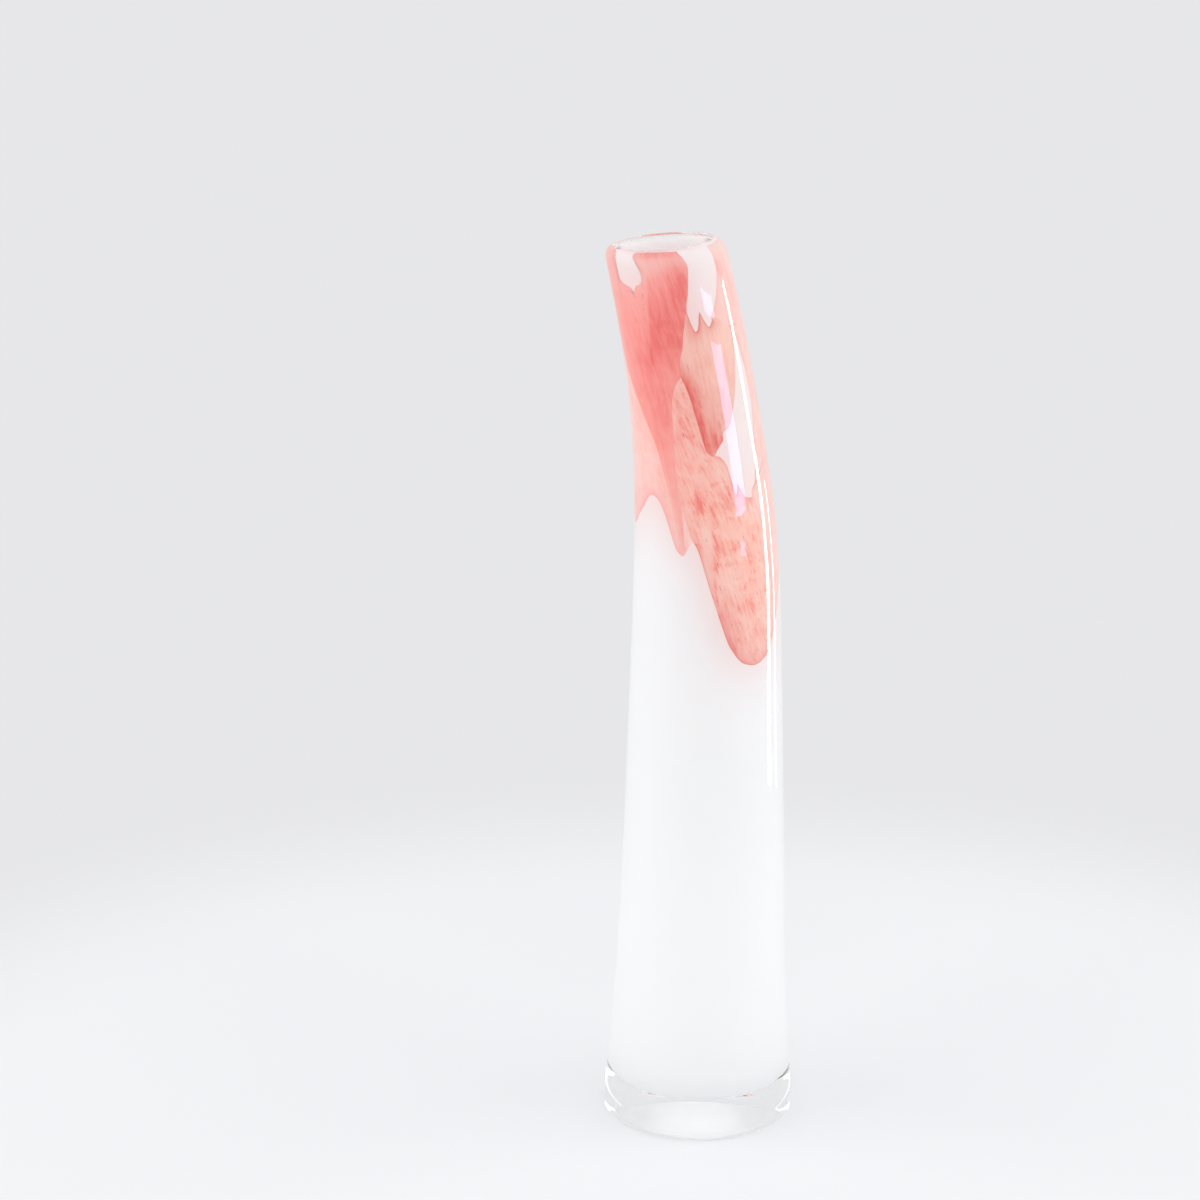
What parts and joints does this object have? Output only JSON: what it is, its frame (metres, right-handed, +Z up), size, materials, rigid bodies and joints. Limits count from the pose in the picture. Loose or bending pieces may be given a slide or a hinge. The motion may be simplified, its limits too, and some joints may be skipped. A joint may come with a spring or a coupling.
{
  "type": "vase",
  "caption": "Tall leaning hand blown vase: clear casing with a solid foot over a white opal lining, coral glass shards between them, open mouth.",
  "frame": {"origin": "middle of the ring that the vase stands on, at the height of the surface under it", "axes": "+Z up along the vase's height, -Y the front, and the neck bends towards -X"},
  "size_m": [0.0857, 0.0856, 0.3999],
  "materials": {
    "clear_glass": "fire polished",
    "opal_glass": "gloss",
    "coral_dense": "gloss",
    "coral_pale": "gloss",
    "coral_grey": "gloss",
    "coral_speckled": "gloss"
  },
  "bodies": {
    "root": {"clear_casing": "clear_glass", "opal_lining": "opal_glass", "coral_wedge_front": "coral_dense", "coral_veil_left": "coral_pale", "coral_patch_mid": "coral_grey", "coral_tongue_front": "coral_speckled", "coral_flank_right": "coral_pale", "coral_drape_back_right": "coral_speckled", "coral_drape_back_middle": "coral_dense", "coral_drape_back_left": "coral_pale"}
  },
  "joints": []
}
